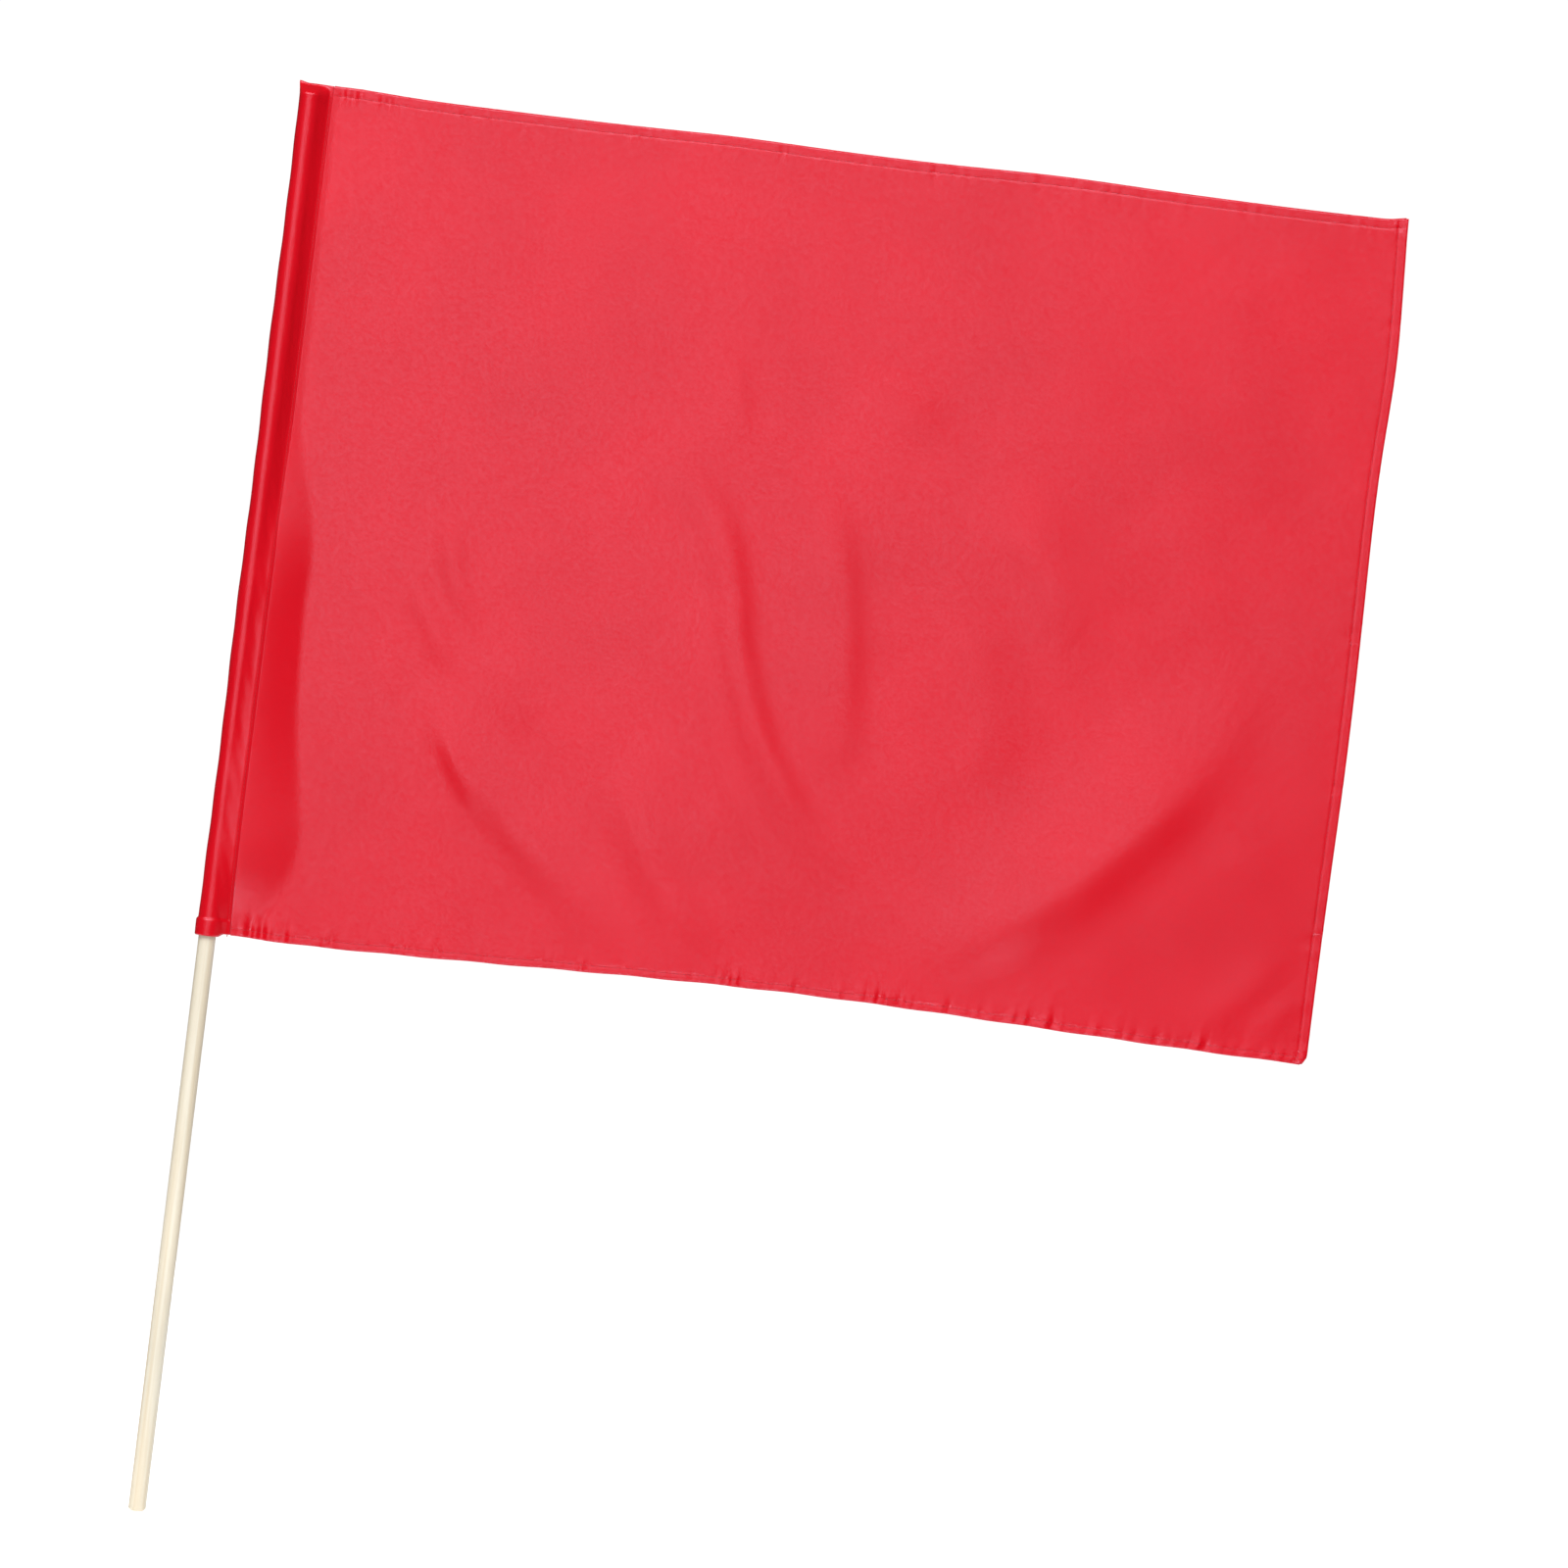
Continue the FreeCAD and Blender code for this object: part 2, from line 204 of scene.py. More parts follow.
def sheet_lift(x, z):
    """How far the cloth stands off the table, with its edges' small puckers."""
    from_seam = np.maximum(x - SEAM_X, 0)
    reach = from_points(z, LANDING) - SEAM_X
    down = np.clip(from_seam / reach, 0, 1.3)
    # It bends onto the table within a few millimetres.
    slope = from_points(z, SEAM_LIFT) * (1 - down ** 1.1)
    lift = CLOTH / 2 + BEND_SOFTNESS * np.logaddexp(0, slope / BEND_SOFTNESS)
    rest = 1 - np.exp(-(np.maximum(from_seam - 0.5 * reach, 0) / 25) ** 2)
    lift += rest * fold_lift(x, z)
    # A slow unevenness, so that the satin's shine isn't the same all over.
    lift += rest * (0.5 * np.sin(x / 61 + 1.3) * np.sin(z / 83 + 0.4)
                    + 0.22 * np.sin(x / 23 + z / 47) * np.sin(z / 31 - x / 90 + 2.0)
                    + 0.10 * np.sin(x / 11 - z / 38 + 0.8) * np.sin(z / 17 + x / 52))
    return lift + np.clip(from_seam / 8, 0, 1) * pucker(x, z)


def pucker(x, z):
    """The small gathers that the thread pulls along the three hems."""
    def patches(along, shift):
        return (0.5 + 0.5 * np.sin(along / 11.7 + shift) * np.sin(along / 37 + 2.3 * shift)) ** 2

    def gathers(along, shift):
        return (np.sin(along / 1.31 + shift) + 0.8 * np.sin(along / 1.93 + 2 * shift)
                + 0.7 * np.sin(along / 2.9 + 3.1 * shift)) * (0.25 + 0.75 * patches(along, shift))

    def hem(inward, stitches, along, shift, strength):
        reach = np.exp(-((inward - stitches * 0.8) / 6.5) ** 2)
        groove = -0.22 * np.exp(-((inward - stitches) / 0.8) ** 2)
        return strength * 0.5 * reach * gathers(along, shift) + groove

    top = 0.5 + 1.2 * bump(x, 20, 60) + 0.4 * bump(x, 420, 200)
    bottom = 0.8 + 0.8 * bump(x, 60, 60) + 0.9 * bump(x, 520, 190)
    fly = 0.7 + 0.9 * bump(z, FLAG_BOTTOM, 90)
    return (hem(FLAG_TOP - z, TOP_STITCHES, x, 0.7, top)
            + hem(z - FLAG_BOTTOM, BOTTOM_STITCHES, x, 1.9, bottom)
            + hem(FLY_X - x, FLY_STITCHES, z, 3.3, fly))


TOP_RISE = 2.7           # the top edge stands this much higher at the sleeve


def edge_drift(x, z):
    """How far the cloth's edges wander from a true rectangle, eased out across the flag."""
    across = np.clip((x - SEAM_X) / (FLY_X - SEAM_X), 0, 1)
    up = np.clip((z - FLAG_BOTTOM) / (FLAG_TOP - FLAG_BOTTOM), 0, 1)
    bottom = 8.6 * bump(x, 400, 250) - 0.5 + 3.2 * across
    bottom = bottom * np.clip((x - SEAM_X) / 60, 0, 1) ** 0.7 + 0.25 * np.sin(x / 9.0) + 2.0 * bump(x, 18, 32)
    top = 1.4 * bump(x, 300, 60) + 1.6 * bump(x, 530, 60) - 0.6 * bump(x, 700, 60) + 0.5
    top = top * np.clip((x - SEAM_X) / 20, 0, 1) + 2.2 * bump(x, FLY_X, 9) + TOP_RISE * bump(x, SEAM_X, 50)
    fly = 2.2 * bump(z, 650, 120) + 3.3 * bump(z, 905, 60) - 0.8 * bump(z, FLAG_TOP, 25)
    fly = fly + 1.4 - 3.0 * bump(z, FLAG_BOTTOM, 3)
    return across ** 3 * fly, (1 - up) ** 2 * bottom + up ** 2 * top


def on_cloth(x, z, forward=0.0):
    """Points on the field, in metres: flag places x and z, and how far in front of its middle."""
    x, z = np.broadcast_arrays(np.asarray(x, float), np.asarray(z, float))
    drift_x, drift_z = edge_drift(x, z)
    y = SLEEVE_BACK - sheet_lift(x, z) - forward
    return np.stack([x + drift_x, y, z + drift_z], axis=-1) * MM


# ---------------------------------------------------------------- meshes

def new_piece(name, vertices, faces, material, smooth=True):
    mesh = bpy.data.meshes.new(name)
    mesh.from_pydata([tuple(v) for v in np.asarray(vertices).reshape(-1, 3)], [], faces)
    mesh.update()
    if smooth:
        mesh.polygons.foreach_set("use_smooth", [True] * len(mesh.polygons))
    piece = bpy.data.objects.new(name, mesh)
    bpy.context.scene.collection.objects.link(piece)
    mesh.materials.append(material)
    return piece


def grid_faces(rows, columns, wrap=False):
    """Quads of a grid whose points run along each row. With wrap, each row is a closed ring."""
    faces = []
    for i in range(rows - 1):
        for j in range(columns if wrap else columns - 1):
            k = (j + 1) % columns
            faces.append((i * columns + j, i * columns + k, (i + 1) * columns + k, (i + 1) * columns + j))
    return faces


def face_outwards(piece):
    bm = bmesh.new()
    bm.from_mesh(piece.data)
    bmesh.ops.recalc_face_normals(bm, faces=bm.faces)
    bm.to_mesh(piece.data)
    bm.free()
    return piece


def graded(start, end, step, low_zone=0.0, high_zone=0.0, fine=0.8):
    """Places from start to end: fine steps in a zone at either end, and plain steps between."""
    def stretch(a, b, size):
        return list(np.linspace(a, b, max(1, round((b - a) / size)), endpoint=False))
    places = []
    if low_zone:
        places += stretch(start, start + low_zone, fine)
    places += stretch(start + low_zone, end - high_zone, step)
    if high_zone:
        places += stretch(end - high_zone, end, fine)
    return np.array(places + [end])


def add_field(material):
    """The flag's field: one sheet from the sleeve's seam to the free edge."""
    columns = np.concatenate([[SEAM_X - 0.6], graded(SEAM_X, SEAM_X + 45, 1.4)[:-1],
                              graded(SEAM_X + 45, FLY_X, 2.8, high_zone=10)])
    rows = graded(FLAG_BOTTOM, FLAG_TOP, 4.5, low_zone=10, high_zone=10)
    x, z = np.meshgrid(columns, rows)
    field = new_piece("field", on_cloth(x, z), grid_faces(len(rows), len(columns)), material)
    solid = field.modifiers.new("thickness", "SOLIDIFY")
    solid.thickness = CLOTH * MM
    solid.offset = 0
    return field


def add_hem(name, along, edge, inward, width, material):
    """The turned cloth behind an edge, with a rounded lip that shows round the edge itself.

    along holds places on the edge. edge is the edge's own x or z, and inward is (1, 0) and
    so on: the direction from the edge into the cloth.
    """
    back = -CLOTH / 2
    deep = back - HEM_THICKNESS
    # Places across the hem's section: how far in from the edge, and how far forward.
    section = [(0.05, 0.24), (-0.25, 0.2), (-0.5, 0.0), (-0.62, -0.3), (-0.55, deep * 0.75), (-0.2, deep),
               (0.8, deep - 0.03), (width * 0.5, deep), (width - 0.6, deep + 0.05), (width, deep + 0.3),
               (width + 0.05, back - 0.25), (width - 0.2, back - 0.02), (width * 0.5, back), (0.4, back)]
    rings = []
    for place in along:
        ring = []
        for inset, forward in section:
            if inward[0]:
                x, z = edge + inward[0] * inset, place
            else:
                x, z = place, edge + inward[1] * inset
            ring.append((x, z, forward))
        rings.append(ring)
    rings = np.array(rings)
    vertices = on_cloth(rings[..., 0], rings[..., 1], rings[..., 2])
    faces = grid_faces(len(along), len(section), wrap=True)
    last = (len(along) - 1) * len(section)
    faces.append(tuple(range(len(section))))
    faces.append(tuple(last + i for i in reversed(range(len(section)))))
    return face_outwards(new_piece(name, vertices, faces, material))


def add_stitches(name, middles, directions, forwards, material):
    """A row of stitches: each is a short bow of thread whose ends go into the cloth."""
    sides = 6
    profile = [(-0.5, 0.15, -1.0), (-0.42, 0.8, -0.25), (-0.2, 1.0, 0.25), (0.2, 1.0, 0.25),
               (0.42, 0.8, -0.25), (0.5, 0.15, -1.0)]
    vertices, faces = [], []
    block = grid_faces(len(profile), sides, wrap=True)
    block.append(tuple(reversed(range(sides))))
    block.append(tuple((len(profile) - 1) * sides + i for i in range(sides)))
    for middle, direction, forward in zip(middles, directions, forwards):
        across = np.cross(direction, forward)
        base = len(vertices)
        for share, size, rise in profile:
            centre = middle + direction * share * STITCH_LENGTH * MM + forward * rise * THREAD_RADIUS * MM
            for i in range(sides):
                angle = 2 * math.pi * i / sides
                vertices.append(centre + size * THREAD_RADIUS * MM
                                * (math.cos(angle) * across + math.sin(angle) * forward))
        faces += [tuple(base + i for i in face) for face in block]
    return face_outwards(new_piece(name, np.array(vertices), faces, material))


def unit(vectors):
    return vectors / np.linalg.norm(vectors, axis=-1, keepdims=True)


def add_field_stitches(name, x, z, front, back_depth, material):
    """Stitches along a row of flag places, on the front of the cloth or on the hem's back."""
    x, z = np.broadcast_arrays(np.asarray(x, float), np.asarray(z, float))
    height = CLOTH / 2 + STITCH_GAP if front else -(CLOTH / 2 + back_depth + STITCH_GAP)
    ahead = on_cloth(x + np.gradient(x) * 0.2, z + np.gradient(z) * 0.2, height)
    behind = on_cloth(x - np.gradient(x) * 0.2, z - np.gradient(z) * 0.2, height)
    middles = on_cloth(x, z, height)
    directions = unit(ahead - behind)
    out = np.array([0.0, -1.0 if front else 1.0, 0.0])
    forwards = unit(out - directions * (directions @ out)[:, None])
    return add_stitches(name, middles, directions, forwards, material)


# ---------------------------------------------------------------- the sleeve

TUBE_RADIUS = 7.35       # middle of the cloth where it wraps the stick
MOUTH_FOLD = 0.75        # how much further the turned cloth at the mouth stands out
MOUTH_ROUND = 0.6        # the fold at the mouth is rounded over this height


def sleeve_outline(z):
    """The middle line of the sleeve's cloth at a height, from the seam's back round to its front.

    Returns points and their outward directions, in millimetres.
    """
    at_mouth = share_below(z, MOUTH_TOP, 0.7)
    radius = TUBE_RADIUS + 0.55 * at_mouth + 0.25 * math.sin(z / 31.0) + 0.15 * math.sin(z / 7.3 + 1)
    seam, middle, meeting = (float(tab_y(x, z)) for x in (SEAM_X, TAB_MIDDLE_X, TAB_X))
    apex = np.array([TAB_X, meeting])
    reach = np.linalg.norm(apex)
    heading = math.atan2(apex[1], apex[0])
    spread = math.acos(radius / reach)
    points, outward = [], []

    def add(point, direction):
        points.append(point)
        outward.append(direction / np.linalg.norm(direction))

    back_touch = heading + spread
    front_touch = heading - spread + 2 * math.pi
    back_normal = np.array([math.cos(back_touch), math.sin(back_touch)])
    front_normal = np.array([math.cos(front_touch), math.sin(front_touch)])
    layer = CLOTH / 2 + 0.02
    # The layers' ends lie flat against the field, just beyond the seam.
    field_y = SLEEVE_BACK - sheet_lift(np.array([LAYERS_END_X]), np.array([z]))[0]
    add(np.array([LAYERS_END_X, field_y + 0.04]), np.array([0.0, 1.0]))
    add(np.array([SEAM_X, seam + layer * 0.6]), np.array([0.0, 1.0]))
    add(np.array([TAB_MIDDLE_X, middle + layer]), np.array([0.0, 1.0]))
    add(np.array([TAB_X, meeting + layer + 0.1]), np.array([0.0, 1.0]) + back_normal)
    for share in np.linspace(0.15, 0.9, 5):
        add(apex + (back_normal * radius - apex) * share + np.array([0, layer * (1 - share)]), back_normal)
    for angle in np.linspace(back_touch, front_touch, 30):
        direction = np.array([math.cos(angle), math.sin(angle)])
        add(direction * radius, direction)
    sag = 0.35 + 0.2 * math.sin(z / 43.0)
    for share in np.linspace(0.1, 0.9, 9):
        place = front_normal * radius + (apex - front_normal * radius) * share
        ripple = 0.12 * math.sin(z / 3.7 + 5 * share) + 0.2 * math.sin(z / 11.0 + 3 * share)
        add(place - front_normal * math.sin(math.pi * share) * (sag + ripple)
            - np.array([0, layer * share]), front_normal)
    add(np.array([TAB_X, meeting - layer - 0.1]), np.array([0.0, -1.0]) + front_normal)
    add(np.array([TAB_MIDDLE_X, middle - layer]), np.array([0.0, -1.0]))
    add(np.array([SEAM_X, seam - layer * 0.6]), np.array([0.0, -1.0]))
    add(np.array([LAYERS_END_X, field_y - 0.04]), np.array([0.0, -1.0]))
    return np.array(points), np.array(outward)


def close_top(points, z):
    """Above the stick the two sides of the sleeve come together into a flat, gathered edge."""
    shut = np.clip((z - (STICK_TOP - 1.0)) / (FLAG_TOP - STICK_TOP + 0.2), 0, 1) ** 1.5
    seam = float(seam_y(z))
    flat_y = seam + 0.5 * np.sign(points[:, 1] - seam) + 0.12 * (points[:, 1] - seam)
    moved = points.copy()
    moved[:, 1] = points[:, 1] * (1 - shut) + flat_y * shut
    moved[:, 0] = points[:, 0] - 1.5 * shut * np.clip(-points[:, 0] / TUBE_RADIUS, 0, 1) ** 2
    return moved


def add_sleeve(material):
    """The sleeve's tube as a solid sheet: its outside, its inside and the edges between."""
    rows = np.concatenate([graded(FLAG_BOTTOM, MOUTH_TOP + 4, 0.7)[:-1],
                           graded(MOUTH_TOP + 4, STICK_TOP - 8, 2.5)[:-1],
                           graded(STICK_TOP - 8, FLAG_TOP + 0.2, 0.7)])
    rings = []
    for z in rows:
        points, outward = sleeve_outline(z)
        at_mouth = share_below(z, MOUTH_TOP, 0.6)
        outer = CLOTH / 2 + MOUTH_FOLD * at_mouth
        from_edge = min(z - FLAG_BOTTOM, MOUTH_ROUND)
        round_off = math.sqrt(max(0.0, 1 - (1 - from_edge / MOUTH_ROUND) ** 2))
        outer = CLOTH / 2 + (outer - CLOTH / 2) * (0.35 + 0.65 * round_off)
        outer_ring = close_top(points + outward * outer, z)
        inner_ring = close_top(points - outward * CLOTH / 2, z)
        ring = np.vstack([outer_ring, inner_ring[::-1]])
        ear = 1.3 * np.clip((z - STICK_TOP) / 6, 0, 1) * np.clip(-(ring[:, 0] + 3) / 5, 0, 1)
        # Below, the edge steps up from the stick's hem to the field's.
        notch = 2.0 * np.clip((ring[:, 0] - 8) / 2, 0, 1) * np.clip((FLAG_BOTTOM + 7 - z) / 7, 0, 1)
        rise = TOP_RISE * np.clip((z - STICK_TOP + 6) / 12, 0, 1) ** 2
        heights = np.full(len(ring), z) + ear + notch + rise
        rings.append(np.column_stack([ring, heights]))
    rings = np.array(rings) * MM
    count = rings.shape[1]
    faces = grid_faces(len(rows), count, wrap=True)
    half = count // 2
    last = (len(rows) - 1) * count
    for i in range(half - 1):
        faces.append((i, i + 1, count - 2 - i, count - 1 - i))
        faces.append((last + i, last + count - 1 - i, last + count - 2 - i, last + i + 1))
    return face_outwards(new_piece("sleeve_cloth", rings, faces, material))


# ---------------------------------------------------------------- materials

def new_material(name):
    material = bpy.data.materials.new(name)
    material.use_nodes = True
    tree = material.node_tree
    tree.nodes.clear()
    shader = tree.nodes.new("ShaderNodeBsdfPrincipled")
    output = tree.nodes.new("ShaderNodeOutputMaterial")
    tree.links.new(shader.outputs["BSDF"], output.inputs["Surface"])
    return material, tree, shader


def noise(tree, place, scale, detail, roughness=0.5, distortion=0.0):
    texture = tree.nodes.new("ShaderNodeTexNoise")
    texture.inputs["Scale"].default_value = scale
    texture.inputs["Detail"].default_value = detail
    texture.inputs["Roughness"].default_value = roughness
    texture.inputs["Distortion"].default_value = distortion
    tree.links.new(place, texture.inputs["Vector"])
    return texture.outputs["Fac"]


def bands(tree, place, direction, scale, distortion):
    texture = tree.nodes.new("ShaderNodeTexWave")
    texture.wave_type = "BANDS"
    texture.bands_direction = direction
    texture.inputs["Scale"].default_value = scale
    texture.inputs["Distortion"].default_value = distortion
    tree.links.new(place, texture.inputs["Vector"])
    return texture


def stretched(tree, place, scale):
    mapping = tree.nodes.new("ShaderNodeMapping")
    mapping.inputs["Scale"].default_value = scale
    tree.links.new(place, mapping.inputs["Vector"])
    return mapping.outputs["Vector"]


def added(tree, first, second):
    total = tree.nodes.new("ShaderNodeMath")
    total.operation = "ADD"
    tree.links.new(first, total.inputs[0])
    tree.links.new(second, total.inputs[1])
    return total.outputs["Value"]


def colour_by(shader, value, dark, light, low=0.0, high=1.0):
    """Colours a material between two tones by a texture's value."""
    tree = shader.id_data
    tone = tree.nodes.new("ShaderNodeValToRGB")
    tone.color_ramp.elements[0].position = low
    tone.color_ramp.elements[0].color = (*dark, 1)
    tone.color_ramp.elements[1].position = high
    tone.color_ramp.elements[1].color = (*light, 1)
    tree.links.new(value, tone.inputs["Fac"])
    tree.links.new(tone.outputs["Color"], shader.inputs["Base Color"])


def vary(shader, setting, value, ends, value_range=(0.0, 1.0)):
    """Varies one of a material's settings between two ends by a texture's value."""
    tree = shader.id_data
    change = tree.nodes.new("ShaderNodeMapRange")
    change.inputs["From Min"].default_value = value_range[0]
    change.inputs["From Max"].default_value = value_range[1]
    change.inputs["To Min"].default_value = ends[0]
    change.inputs["To Max"].default_value = ends[1]
    tree.links.new(value, change.inputs["Value"])
    tree.links.new(change.outputs["Result"], shader.inputs[setting])


def relief_by(shader, value, strength, distance):
    """Gives a material bumps by a texture's value."""
    tree = shader.id_data
    relief = tree.nodes.new("ShaderNodeBump")
    relief.inputs["Strength"].default_value = strength
    relief.inputs["Distance"].default_value = distance
    tree.links.new(value, relief.inputs["Height"])
    tree.links.new(relief.outputs["Normal"], shader.inputs["Normal"])


def satin():
    """Red polyester satin: a fine weave, a soft broad shine, and faint slubs."""
    material, tree, shader = new_material("red_satin")
    shader.inputs["Specular Tint"].default_value = (1.0, 0.78, 1.0, 1)
    shader.inputs["Sheen Weight"].default_value = 0.04
    shader.inputs["Sheen Roughness"].default_value = 0.4
    shader.inputs["Sheen Tint"].default_value = (1.0, 0.55, 0.55, 1)
    place = tree.nodes.new("ShaderNodeTexCoord").outputs["Object"]
    cloudy = noise(tree, place, 9, 4)
    colour_by(shader, cloudy, (0.66, 0.0022, 0.010), (0.72, 0.0030, 0.012), 0.3, 0.7)

    # Threads: the warp runs up the flag and the weft across it.
    threads = []
    for direction in ("X", "Z"):
        wave = bands(tree, place, direction, 520, 1.2)
        wave.inputs["Detail"].default_value = 2
        wave.inputs["Detail Scale"].default_value = 2
        threads.append(wave.outputs["Fac"])
    weave = added(tree, *threads)
    # Slubs: thicker stretches of thread, long across the flag.
    slubs = noise(tree, stretched(tree, place, (60, 60, 900)), 1, 3)
    vary(shader, "Roughness", slubs, (0.21, 0.27))
    relief_by(shader, added(tree, weave, slubs), 0.1, 0.0003)
    # The weave catches the light unevenly, in flecks of a few threads.
    flecks = noise(tree, place, 520, 4, roughness=0.7)
    vary(shader, "Specular IOR Level", flecks, (0.42, 0.84), value_range=(0.33, 0.67))
    return material


def thread_material():
    """Polyester thread, a little deeper than the cloth, with its twist."""
    material, tree, shader = new_material("red_thread")
    shader.inputs["Roughness"].default_value = 0.5
    place = tree.nodes.new("ShaderNodeTexCoord").outputs["Object"]
    twist = bands(tree, place, "DIAGONAL", 900, 0.5).outputs["Fac"]
    colour_by(shader, twist, (0.50, 0.008, 0.018), (0.68, 0.016, 0.032))
    relief_by(shader, twist, 0.4, 0.0001)
    return material


def pale_wood():
    """A bare pale softwood dowel: long faint grain, in paler and darker streaks."""
    material, tree, shader = new_material("pale_wood")
    place = tree.nodes.new("ShaderNodeTexCoord").outputs["Object"]
    grain = noise(tree, stretched(tree, place, (240, 240, 5)), 1, 6, distortion=0.6)
    colour_by(shader, grain, (0.72, 0.60, 0.42), (0.84, 0.78, 0.64), 0.25, 0.62)
    vary(shader, "Roughness", grain, (0.62, 0.5))
    relief_by(shader, grain, 0.25, 0.0003)
    return material


# ---------------------------------------------------------------- build

SATIN, THREAD, WOOD = satin(), thread_material(), pale_wood()

stick = frame["nodes"]["pole"]
stick.data.materials.clear()
stick.data.materials.append(WOOD)

sleeve = add_sleeve(SATIN)
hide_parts("sleeve", "sleeve_mouth_hem", "sleeve_top_hem")

EDGE_STEP = 2.4
hem_x = np.arange(SEAM_X + 1, FLY_X, EDGE_STEP)
hem_z = np.arange(FLAG_BOTTOM, FLAG_TOP + 0.1, EDGE_STEP)
field = add_field(SATIN)
top_hem = add_hem("top_hem", hem_x, FLAG_TOP, (0, -1), TOP_HEM, SATIN)
bottom_hem = add_hem("bottom_hem", hem_x, FLAG_BOTTOM, (0, 1), BOTTOM_HEM, SATIN)
fly_hem = add_hem("fly_hem_cloth", hem_z, FLY_X, (-1, 0), FLY_HEM, SATIN)

stitch_x = np.arange(SEAM_X + 2, FLY_X - 2, STITCH_PITCH)
stitch_z = np.arange(FLAG_BOTTOM + 2, FLAG_TOP - 2, STITCH_PITCH)
rows_of_stitches = []
for thread, front in (("needle", True), ("bobbin", False)):
    for hem, x, z in (("top", stitch_x, FLAG_TOP - TOP_STITCHES),
                      ("bottom", stitch_x, FLAG_BOTTOM + BOTTOM_STITCHES),
                      ("fly", FLY_X - FLY_STITCHES, stitch_z)):
        row = add_field_stitches(f"{hem}_{thread}_stitches", x, z, front, HEM_THICKNESS, THREAD)
        nodes = [f"{hem}_{thread}_thread"] if hem == "fly" else [
            f"{hem}_{thread}_thread_{panel}" for panel in ("inner", "outer")]
        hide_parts(*nodes)
        rows_of_stitches.append(row)

seam_z = np.arange(FLAG_BOTTOM + 1.5, STICK_TOP + 2, STITCH_PITCH)
seam_pieces = [sleeve]
for thread, side in (("needle", -1), ("bobbin", 1)):
    middles = np.column_stack([np.full_like(seam_z, SEAM_STITCHES_X),
                               tab_y(SEAM_STITCHES_X, seam_z) + side * (CLOTH + 0.12), seam_z]) * MM
    up = np.tile([0.0, 0.0, 1.0], (len(seam_z), 1))
    out = np.tile([0.0, side * 1.0, 0.0], (len(seam_z), 1))
    row = add_stitches(f"sleeve_seam_{thread}_stitches", middles, up, out, THREAD)
    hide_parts(f"sleeve_seam_{thread}_thread")
    seam_pieces.append(row)

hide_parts("field_inner", "field_outer")
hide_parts("top_hem_inner", "top_hem_outer")
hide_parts("bottom_hem_inner", "bottom_hem_outer")
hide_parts("fly_hem")
for piece in (field, top_hem, bottom_hem, fly_hem, *rows_of_stitches):
    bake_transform(piece)

# The sleeve and the seam's stitches get their transforms baked in.
for piece in seam_pieces:
    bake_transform(piece)

# ---------------------------------------------------------------- floor, light and camera

def add_floor():
    half_width, front, back, drop = 1.2, 0.3, 1.2, 0.0005
    material, _, shader = new_material("white_floor")
    shader.inputs["Base Color"].default_value = (0.3, 0.3, 0.3, 1)
    shader.inputs["Roughness"].default_value = 0.9
    shader.inputs["Specular IOR Level"].default_value = 0.1
    shader.inputs["Emission Color"].default_value = (1, 1, 1, 1)
    shader.inputs["Emission Strength"].default_value = 1.0
    middle = FOLD_X * MM
    corners = [(middle - half_width, -front, -drop), (middle + half_width, -front, -drop),
               (middle + half_width, back, -drop), (middle - half_width, back, -drop)]
    floor = new_piece("floor", corners, [(0, 1, 2, 3)], material, smooth=False)


def add_light(name, place, aim, size, power):
    lamp = bpy.data.lights.new(name, "AREA")
    lamp.shape = "RECTANGLE"
    lamp.size, lamp.size_y = size
    lamp.energy = power
    light = bpy.data.objects.new(name, lamp)
    bpy.context.scene.collection.objects.link(light)
    light.location = place
    light.rotation_euler = (Vector(aim) - Vector(place)).to_track_quat("-Z", "Y").to_euler()


MIDDLE = Vector((0.3885, 0, 0.5607))     # what the camera looks at, in metres


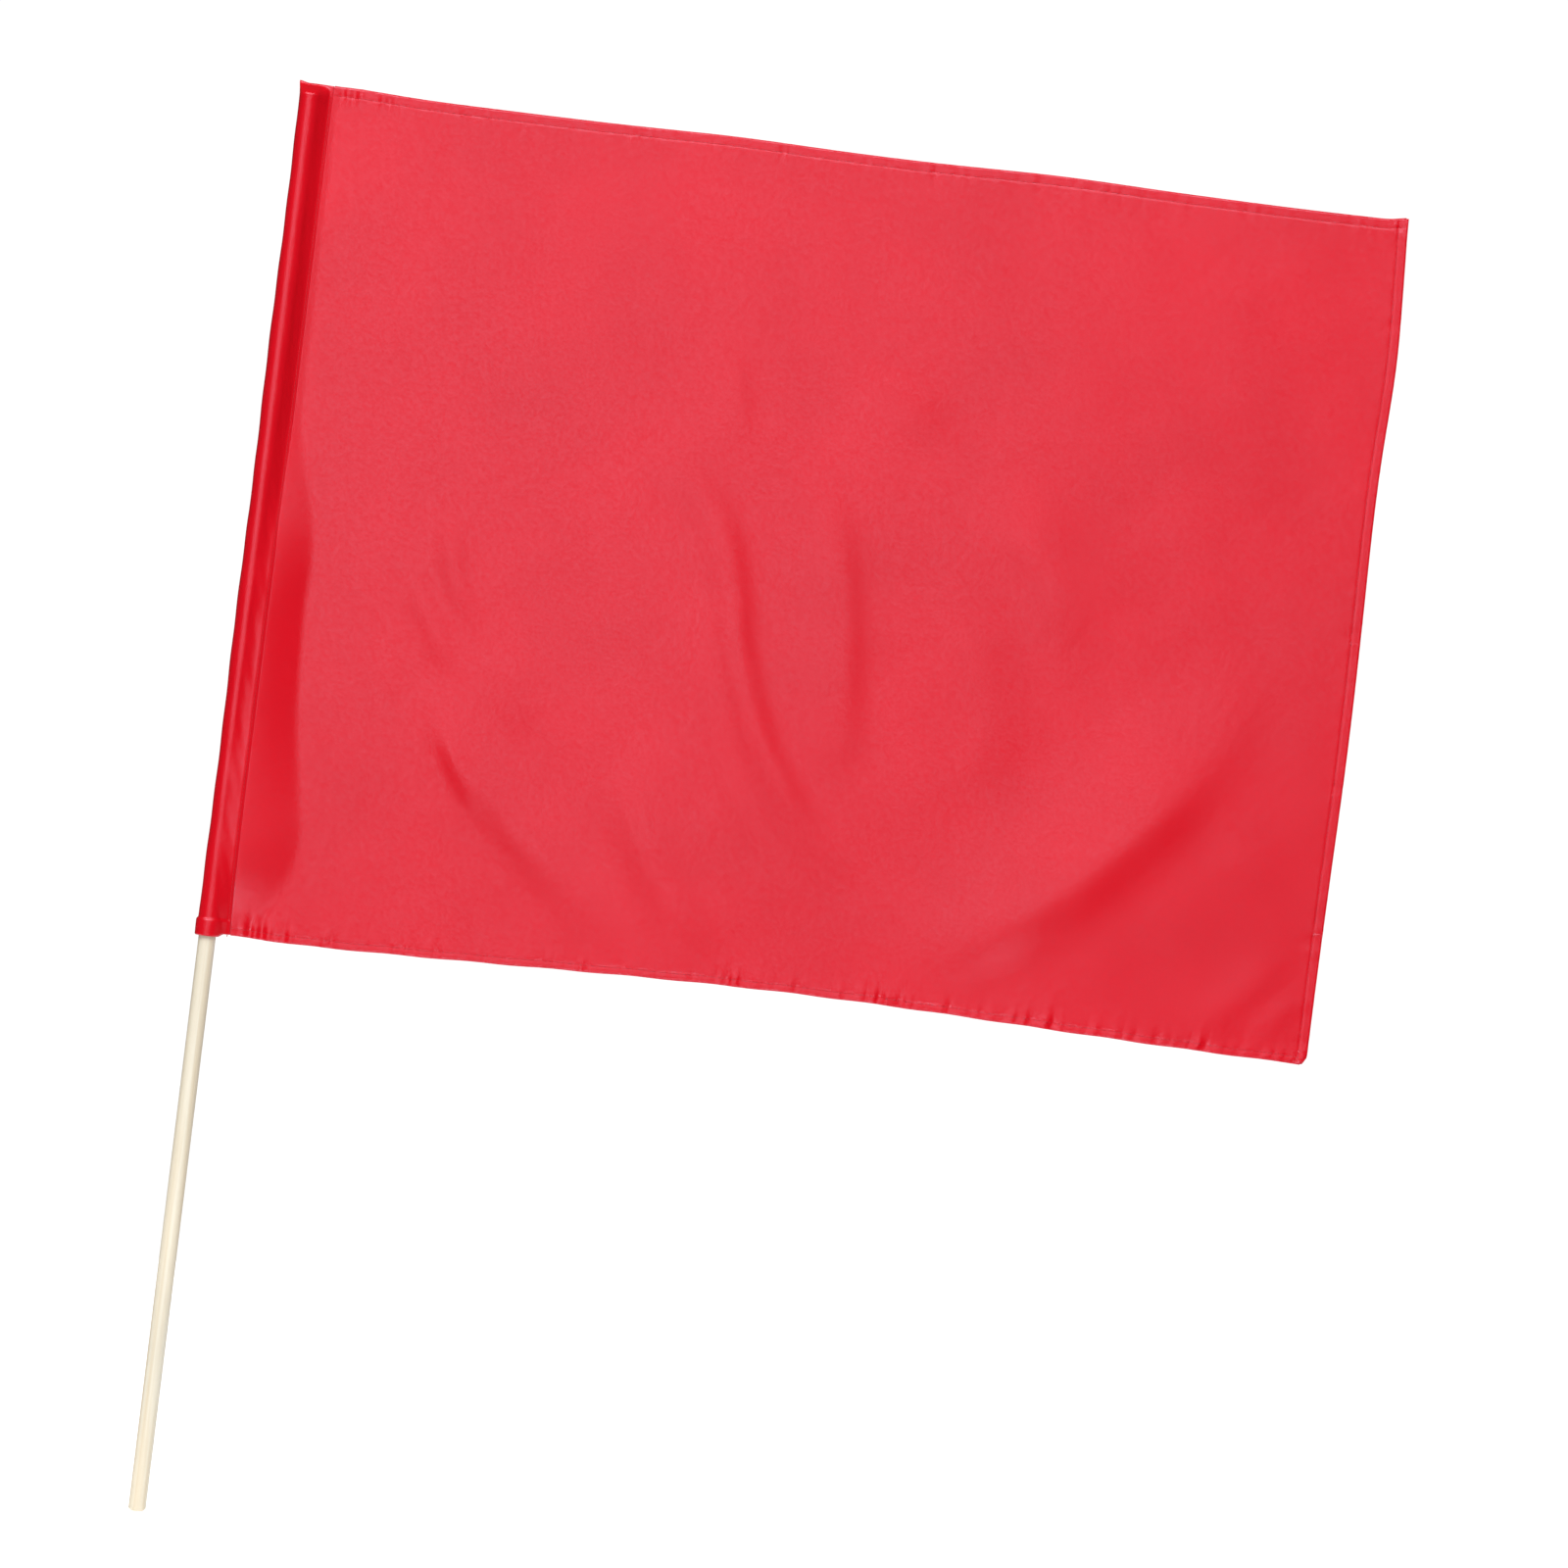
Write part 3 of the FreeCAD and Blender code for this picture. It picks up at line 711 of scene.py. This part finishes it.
def add_lights():
    """A wide softbox far in front, brighter in its left half, which the flat cloth mirrors.
    A panel overhead, a low one in front and one behind light the rest."""
    add_light("softbox", (-0.4, -8, 1.3), (-0.4, 0, 1.3), (6.2, 3.9), 98)
    add_light("left_softbox", (-1.8, -7.98, 1.3), (-1.8, 0, 1.3), (3.2, 3.9), 15)
    add_light("overhead", (0.0, -3.2, 4.0), MIDDLE, (6.0, 3.0), 275)
    add_light("low_fill", (0.2, -4.5, -2.2), MIDDLE, (2.0, 1.0), 65)
    add_light("back_fill", (0.6, 2.4, 1.6), MIDDLE, (2.0, 2.0), 34)
    world = bpy.data.worlds.new("studio")
    bpy.context.scene.world = world
    world.use_nodes = True
    nodes, links = world.node_tree.nodes, world.node_tree.links
    background = nodes["Background"]
    background.inputs["Color"].default_value = (1, 1, 1, 1)
    background.inputs["Strength"].default_value = 0.04
    seen = nodes.new("ShaderNodeBackground")
    seen.inputs["Color"].default_value = (1, 1, 1, 1)
    seen.inputs["Strength"].default_value = 1.05
    path = nodes.new("ShaderNodeLightPath")
    mix = nodes.new("ShaderNodeMixShader")
    links.new(path.outputs["Is Camera Ray"], mix.inputs["Fac"])
    links.new(background.outputs["Background"], mix.inputs[1])
    links.new(seen.outputs["Background"], mix.inputs[2])
    links.new(mix.outputs["Shader"], nodes["World Output"].inputs["Surface"])


def add_camera():
    """Square on to the flag, with the stick leaning 7 degrees to the right."""
    lean = math.radians(7.0)
    lens, sensor, frame_width = 85, 36, 1.0997
    camera_data = bpy.data.cameras.new("camera")
    camera_data.lens = lens
    camera_data.sensor_width = sensor
    camera = bpy.data.objects.new("camera", camera_data)
    bpy.context.scene.collection.objects.link(camera)
    right = Vector((math.cos(lean), 0, math.sin(lean)))
    up = Vector((-math.sin(lean), 0, math.cos(lean)))
    back = right.cross(up)
    turn = Matrix((right, up, back)).transposed()
    camera.matrix_world = Matrix.Translation(MIDDLE + back * (frame_width * lens / sensor)) @ turn.to_4x4()
    bpy.context.scene.camera = camera


add_floor()
add_lights()
add_camera()
bpy.context.scene.view_settings.view_transform = "Standard"
